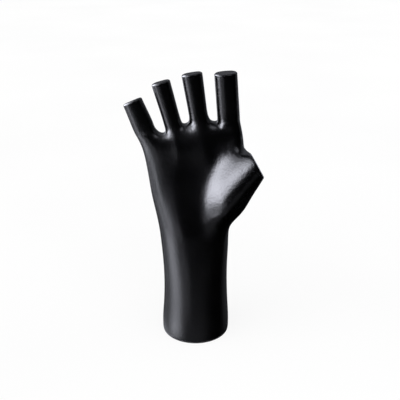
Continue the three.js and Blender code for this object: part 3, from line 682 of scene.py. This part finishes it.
def close_seam(piece):
    """Takes out the walls along the seam and joins the halves, so that the shell is one closed wall."""
    edit(piece)
    mesh = bmesh.from_edit_mesh(piece.data)
    middles = {face: face.calc_center_median() for face in mesh.faces}

    def faces_inwards(face):
        middle = middles[face]
        outwards = Vector((middle.x, middle.y, 0))
        return abs(middle.z - SEED_LEVEL) < SEED_BAND and face.normal.dot(outwards) < 0

    # The foremost and the hindmost face of the outer skin, and of the inner skin
    inside = [face for face in mesh.faces if faces_inwards(face)]
    seeds = [
        furthest(group, key=lambda face: middles[face].y)
        for group in (mesh.faces, inside) for furthest in (min, max)
    ]
    at_seam = corners_at_seam(mesh)

    def over_blunt_edges(face):
        for edge in face.edges:
            limit = WALL_TURN if at_seam.issuperset(edge.verts) else SKIN_TURN
            for other in edge.link_faces:
                if face.normal.angle(other.normal, 0) < limit:
                    yield other

    # Above the foot, every other face is part of a wall along the seam
    skins = spread(seeds, over_blunt_edges)
    foot = PAD_TOP.z + FOOT_BAND
    select_faces(piece, lambda face: face not in skins and middles[face].z > foot)
    bpy.ops.mesh.delete(type="FACE")
    bpy.ops.mesh.select_all(action="SELECT")
    bpy.ops.mesh.remove_doubles(threshold=SEAM_REACH)
    bpy.ops.mesh.select_mode(type="EDGE")
    # Any gap that the joining leaves gets a face
    if select_edges(piece, lambda edge: edge.is_boundary):
        bpy.ops.mesh.edge_face_add()
    bpy.ops.mesh.select_mode(type="FACE")
    bpy.ops.mesh.select_all(action="SELECT")
    bpy.ops.mesh.tris_convert_to_quads(face_threshold=QUAD_TURN, shape_threshold=QUAD_TURN)
    bpy.ops.mesh.select_mode(type="EDGE")
    select_edges(piece, is_foot_edge)
    bpy.ops.transform.edge_crease(value=1)
    done()


def soften(piece, rounds):
    """Rubs the soft spots smoother, fully over half their radius and less and less beyond it."""
    group = piece.vertex_groups.new(name="soft_spots")
    spots = [(place, kind.radius, kind.softness) for kind in SOFT_SPOTS for place in kind.places]
    for corner in piece.data.vertices:
        weight = max(
            softness * min(1, 2 - 2 * (corner.co - middle).length / radius)
            for middle, radius, softness in spots
        )
        if weight > 0:
            group.add([corner.index], weight, "REPLACE")
    apply_modifier(piece, "SMOOTH", factor=RUB_SHARE, iterations=rounds, vertex_group=group.name)
    piece.vertex_groups.clear()


class DISPLAY_HAND_OT_skin(Operator):
    """Make the lacquered shell of the hand in one piece"""

    bl_idname = "display_hand.skin"
    bl_label = "Lacquered shell"

    def execute(self, context):
        shell = context.scene.display_hand_shell
        skin = merged_copy(SHELL_NODES, "hand_skin")
        close_seam(skin)
        apply_modifier(
            skin, "SUBSURF", levels=shell.smoothing, render_levels=shell.smoothing, use_creases=True
        )
        soften(skin, shell.soft_rounds)

        def is_outer(edge):
            return is_foot_edge(edge) and edge.verts[0].co.xy.length > PAD_RADIUS

        edit(skin, "EDGE")
        select_edges(skin, is_outer)
        round_edges(shell.foot_round)
        done()
        lacquer = lacquer_material(context.scene.display_hand_lacquer)
        finish_piece(skin, SKIN_SHADE_TURN, lacquer, "lacquer", *SHELL_NODES)
        return {"FINISHED"}


# The pad and the pieces inside the foot

PAD_RING = 3 * MM  # width of the ring of faces inside the pad's rounding
PAD_SHADE_TURN = math.radians(30)  # as SKIN_SHADE_TURN is for the shell


class DISPLAY_HAND_OT_pad(Operator):
    """Make the rubber pad under the foot"""

    bl_idname = "display_hand.pad"
    bl_label = "Rubber foot pad"

    def execute(self, context):
        base = context.scene.display_hand_base
        thickness = PAD_TOP.z - PAD_BOTTOM.z
        deselect()
        bpy.ops.mesh.primitive_cylinder_add(
            vertices=base.pad_sides, radius=PAD_RADIUS, depth=thickness,
            location=(0, 0, PAD_BOTTOM.z + thickness / 2), end_fill_type="NGON",
        )
        pad = context.active_object
        pad.name = "rubber_foot_pad"
        pad.data.name = "rubber_foot_pad"
        bpy.ops.object.transform_apply(location=True, rotation=True, scale=True)
        edit(pad)
        select_faces(pad, is_level)
        for width in (base.pad_round, PAD_RING):
            bpy.ops.mesh.inset(thickness=width, use_even_offset=True)
        bpy.ops.mesh.select_mode(type="EDGE")

        def is_rim(edge):
            heights = [corner.co.z for corner in edge.verts]
            level = max(heights) - min(heights) < MERGE_REACH
            return level and all(
                corner.co.xy.length > PAD_RADIUS - MERGE_REACH for corner in edge.verts
            )

        select_edges(pad, is_rim)
        round_edges(base.pad_round)
        done()
        finish_piece(pad, PAD_SHADE_TURN, rubber_material(base), "foot_rubber", "foot_pad")
        return {"FINISHED"}


class DISPLAY_HAND_OT_base(Operator):
    """Finish the pieces inside the foot: base disc, bead, ballast, screws and tapes"""

    bl_idname = "display_hand.base"
    bl_label = "Inner base pieces"

    def execute(self, context):
        base = context.scene.display_hand_base
        dress(plywood_material(base), "base_disc")
        dress(resin_material(base), "bond_bead")
        dress(steel_material(base), "ballast_disc")
        dress(zinc_material(base), *SCREW_NODES)
        dress(glass_tape_material(base), *TAPE_NODES)
        return {"FINISHED"}


# The stage

CAMERA_PLACE = (4.3 * MM, -559 * MM, 363 * MM)
CAMERA_PITCH = math.radians(22.28)  # how far the camera looks down
CAMERA_LENS = 59.4  # for a sensor of the next width, both in millimetres
CAMERA_SENSOR = 36
LAMP_PLACE = (-0.6, -0.3, 0.8)  # the soft lamp shines from here to the foot
FLOOR_RADIUS = 6  # this and the next two in metres
WALL_RADIUS = 3
FLOOR_CLOUDS = 0.4  # width of the floor's faint clouds
BOX_TINT = (0.97, 0.99, 1.1, 1)  # a little cooler than white


class SoftBox(NamedTuple):
    """A soft-edged light on the studio walls, seen from the hand, with its angles in degrees."""

    azimuth: float  # of the middle, from the camera's side and positive to the right
    elevation: float  # of the middle
    half_width: float
    half_height: float
    strength: float
    hardness: float  # how sharply it ends


SOFT_BOXES = (
    # Key light, on the lower left of the thumb's ball and in the webs
    SoftBox(azimuth=-71, elevation=8, half_width=15.5, half_height=14.5, strength=16, hardness=2.8),
    # Its upper right corner, on the upper right of the ball
    SoftBox(azimuth=-49, elevation=23, half_width=13, half_height=12, strength=15.5, hardness=2.3),
    # Window beside it, in the rims of the finger cuts and on the left edge of the ball
    SoftBox(azimuth=-112, elevation=20, half_width=26, half_height=28, strength=17, hardness=3.3),
    # Weaker top of the key light, where the ball meets the thumb's web
    SoftBox(azimuth=-56, elevation=47, half_width=24, half_height=12, strength=2.4, hardness=6),
    # Low strip, along the left sides of the forearm and the fingers
    SoftBox(azimuth=-72, elevation=-28.5, half_width=23, half_height=5.5, strength=4.7, hardness=2.4),
    # Short strip above it, along the palm's left side
    SoftBox(azimuth=-61, elevation=-17, half_width=9, half_height=4, strength=2.2, hardness=2.5),
    # Dim spread of both to the right
    SoftBox(azimuth=-47, elevation=-14, half_width=28, half_height=6, strength=1, hardness=8),
    # High box, as a small spot in the thumb's web
    SoftBox(azimuth=36, elevation=63, half_width=30, half_height=12, strength=2, hardness=2.5),
    # Pale ceiling on the left, as a haze on the upper palm and the finger cuts
    SoftBox(azimuth=-116, elevation=55, half_width=85, half_height=36, strength=0.9, hardness=2),
    # Pale table in front, as a haze on the forearm and under the ball
    SoftBox(azimuth=-52, elevation=-42, half_width=90, half_height=25, strength=0.24, hardness=5.4),
    # Pale table on the left, on the forearm's left outline
    SoftBox(azimuth=-117, elevation=-44, half_width=43, half_height=13, strength=0.66, hardness=5),
    # Faint wall behind, on the right outline
    SoftBox(azimuth=140, elevation=19, half_width=32, half_height=48, strength=0.17, hardness=5),
    # Strips for the thumb's side and for the back, which the front hardly shows
    SoftBox(azimuth=112, elevation=-11, half_width=14, half_height=5, strength=0.7, hardness=4),
    SoftBox(azimuth=180, elevation=-11, half_width=22, half_height=5, strength=1.3, hardness=4),
)


def way_out(recipe, away, half, hardness):
    """Rises from 0 in a box's middle to 1 at its edge, and steeply beyond it."""
    share = recipe.maths("ABSOLUTE", recipe.maths("DIVIDE", away, math.radians(half)))
    return recipe.maths("POWER", share, hardness)


def soft_box(recipe, azimuth, elevation, box):
    """One soft box, as a strength over directions."""
    across = recipe.maths("SUBTRACT", azimuth, math.radians(box.azimuth))
    across = recipe.maths("WRAP", across, math.pi, -math.pi)
    across = way_out(recipe, across, box.half_width, box.hardness)
    up = recipe.maths("SUBTRACT", elevation, math.radians(box.elevation))
    up = way_out(recipe, up, box.half_height, box.hardness)
    fade = recipe.maths("MULTIPLY", recipe.maths("ADD", across, up), -1.0)
    return recipe.maths("MULTIPLY", recipe.maths("EXPONENT", fade), box.strength)


def wall_material(strength):
    """Walls that glow where the soft boxes are."""
    recipe = Recipe("studio_walls")
    place = recipe.node("NewGeometry").outputs["Position"]
    direction = recipe.node("VectorMath", {0: place}, operation="NORMALIZE").outputs[0]
    parts = recipe.node("SeparateXYZ", {0: direction}).outputs
    towards_camera = recipe.maths("MULTIPLY", parts["Y"], -1.0)
    azimuth = recipe.maths("ARCTAN2", parts["X"], towards_camera)
    elevation = recipe.maths("ARCSINE", parts["Z"])
    total = 0.0
    for box in SOFT_BOXES:
        total = recipe.maths("ADD", soft_box(recipe, azimuth, elevation, box), total)
    total = recipe.maths("MULTIPLY", total, strength)
    return recipe.finish_stage(recipe.node("Emission", {"Color": BOX_TINT, "Strength": total}))


def floor_material(glow_share):
    """White floor whose shadows stay pale, and which can't be seen from below."""
    recipe = Recipe("white_floor")
    clouds = recipe.noise(size=FLOOR_CLOUDS)
    white = recipe.colours(clouds, (NOISE_LOW, [0.97] * 3), (NOISE_HIGH, [0.99] * 3))
    matt = recipe.node("BsdfDiffuse", {"Color": white, "Roughness": 1.0}).outputs[0]
    glow = recipe.node("Emission", {"Color": white, "Strength": 1.0}).outputs[0]
    mixed = recipe.node("MixShader", {0: glow_share, 1: matt, 2: glow}).outputs[0]
    below = recipe.node("NewGeometry").outputs["Backfacing"]
    clear = recipe.node("BsdfTransparent").outputs[0]
    return recipe.finish_stage(recipe.node("MixShader", {0: below, 1: mixed, 2: clear}))


def add_floor(glow_share):
    """The floor, which neither shines on the hand nor is mirrored in it."""
    bpy.ops.mesh.primitive_circle_add(vertices=64, radius=FLOOR_RADIUS, fill_type="NGON")
    floor = bpy.context.active_object
    floor.name = "floor"
    floor.visible_glossy = False
    floor.visible_diffuse = False
    floor.data.materials.append(floor_material(glow_share))
    floor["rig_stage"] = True


def add_walls(strength):
    """The walls with the soft boxes, which only show mirrored in a gloss."""
    bpy.ops.mesh.primitive_uv_sphere_add(segments=48, ring_count=24, radius=WALL_RADIUS)
    walls = bpy.context.active_object
    walls.name = "studio_walls"
    for ray in ("camera", "diffuse", "transmission", "volume_scatter", "shadow"):
        setattr(walls, "visible_" + ray, False)
    walls.data.materials.append(wall_material(strength))
    walls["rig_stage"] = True


def add_room_light(strength):
    """Even white light from all around, which the lacquer doesn't mirror."""
    world = bpy.data.worlds.new("studio")
    bpy.context.scene.world = world
    world.use_nodes = True
    backdrop = world.node_tree.nodes["Background"]
    backdrop.inputs["Color"].default_value = (1, 1, 1, 1)
    backdrop.inputs["Strength"].default_value = strength
    world.cycles_visibility.glossy = False


def add_lamp(strength, width):
    """The one soft lamp, which the lacquer doesn't mirror."""
    bpy.ops.object.light_add(type="SUN", location=LAMP_PLACE)
    lamp = bpy.context.active_object
    lamp.name = "soft_lamp"
    lamp.data.energy = strength
    lamp.data.angle = width
    lamp.visible_glossy = False
    lamp.rotation_mode = "QUATERNION"
    lamp.rotation_quaternion = Vector(LAMP_PLACE).to_track_quat("Z", "Y")


def add_camera():
    """The camera, where the photograph was taken from."""
    rotation = (math.pi / 2 - CAMERA_PITCH, 0, 0)
    bpy.ops.object.camera_add(location=CAMERA_PLACE, rotation=rotation)
    camera = bpy.context.active_object
    camera.data.lens = CAMERA_LENS
    camera.data.sensor_width = CAMERA_SENSOR
    bpy.context.scene.camera = camera


class DISPLAY_HAND_OT_stage(Operator):
    """Make the floor, the studio walls, the lights and the camera"""

    bl_idname = "display_hand.stage"
    bl_label = "Stage"

    def execute(self, context):
        studio = context.scene.display_hand_studio
        deselect()
        add_floor(studio.floor_glow)
        add_room_light(studio.room_light)
        add_lamp(studio.sun_strength, studio.sun_width)
        add_walls(studio.gloss_light)
        add_camera()
        context.scene.view_settings.view_transform = "Standard"
        return {"FINISHED"}


# The sidebar and the script


class DISPLAY_HAND_PT_panel(Panel):
    """Lists the display hand's steps, sizes and colours"""

    bl_idname = "DISPLAY_HAND_PT_panel"
    bl_label = "Display hand"
    bl_space_type = "VIEW_3D"
    bl_region_type = "UI"
    bl_category = "Display hand"

    def draw(self, context):
        column = self.layout.column(align=True)
        for step in STEPS:
            column.operator(step.bl_idname)
        for name, group in SETTINGS.items():
            box = self.layout.box()
            box.label(text=name.rsplit("_", 1)[-1].title())
            for key in group.__annotations__:
                box.prop(getattr(context.scene, name), key)


SETTINGS = {
    "display_hand_lacquer": DISPLAY_HAND_PG_lacquer,
    "display_hand_shell": DISPLAY_HAND_PG_shell,
    "display_hand_base": DISPLAY_HAND_PG_base,
    "display_hand_studio": DISPLAY_HAND_PG_studio,
}
STEPS = (DISPLAY_HAND_OT_skin, DISPLAY_HAND_OT_pad, DISPLAY_HAND_OT_base, DISPLAY_HAND_OT_stage)
CLASSES = (*SETTINGS.values(), *STEPS, DISPLAY_HAND_PT_panel)


def register():
    """Adds the classes and their settings to Blender."""
    for one in CLASSES:
        bpy.utils.register_class(one)
    for name, group in SETTINGS.items():
        setattr(bpy.types.Scene, name, PointerProperty(type=group))


def unregister():
    """Takes the settings and the classes out again."""
    for name in SETTINGS:
        delattr(bpy.types.Scene, name)
    for one in reversed(CLASSES):
        bpy.utils.unregister_class(one)


def main():
    """Makes every piece and the stage."""
    register()
    bpy.ops.display_hand.skin()
    bpy.ops.display_hand.pad()
    bpy.ops.display_hand.base()
    bpy.ops.display_hand.stage()
    sizes = {"cad": cad_box, "visual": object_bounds()}
    {name: [list(corner) for corner in box] for name, box in sizes.items()}


if __name__ == "__main__":
    main()
